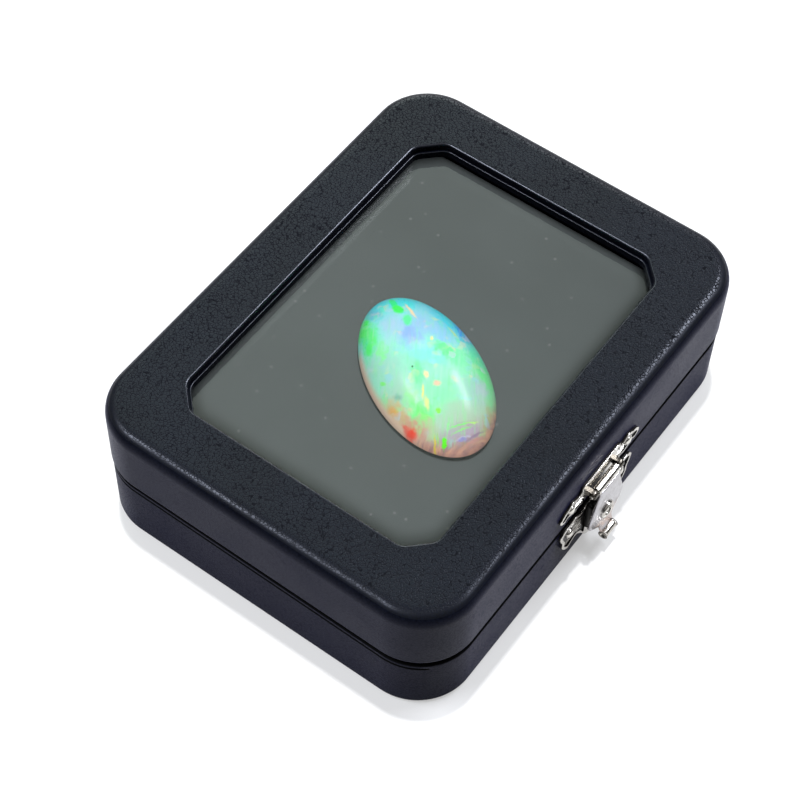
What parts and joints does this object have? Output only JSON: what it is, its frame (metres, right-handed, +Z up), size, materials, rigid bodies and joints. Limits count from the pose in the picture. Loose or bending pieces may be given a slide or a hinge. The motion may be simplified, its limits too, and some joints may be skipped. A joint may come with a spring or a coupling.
{
  "type": "opal cabochon in display box",
  "caption": "Oval opal cabochon lying on a foam pad in a leatherette display box with a glass window in its hinged lid and an ornate nickel clasp.",
  "frame": {"origin": "middle of the box's underside, on the surface it rests on", "axes": "+X along the long side, -Y out of the front with the clasp, +Z up"},
  "size_m": [0.09, 0.0758, 0.0266],
  "materials": {
    "leatherette": "black embossed leatherette, satin",
    "foam": "dark grey fine foam, matte",
    "board": "black board, matte",
    "glass": "clear polished",
    "opal": "polished, milky mint with play of colour",
    "nickel": "nickel plated, slightly worn"
  },
  "bodies": {
    "base": {"base_tray": "leatherette", "foam_pad": "foam", "opal": "opal", "hinge_base_leaf_left": "nickel", "hinge_base_leaf_right": "nickel", "clasp_lower_plate": "nickel"},
    "lid": {"lid_frame": "leatherette", "glass_pane": "glass", "glass_liner": "board", "hinge_lid_leaf_left": "nickel", "hinge_lid_leaf_right": "nickel", "clasp_upper_plate": "nickel"},
    "hasp": {"hasp_flap": "nickel"}
  },
  "joints": [
    {"name": "lid_hinge", "type": "hinge", "parent": "base", "child": "lid", "pos_m": [0, 0.0359, 0.01355], "axis": [-1, 0, 0], "range_deg": [0, 105]},
    {"name": "hasp_hinge", "type": "hinge", "parent": "lid", "child": "hasp", "pos_m": [-0.0004, -0.036, 0.017], "axis": [-1, 0, 0], "range_deg": [0, 140]}
  ]
}
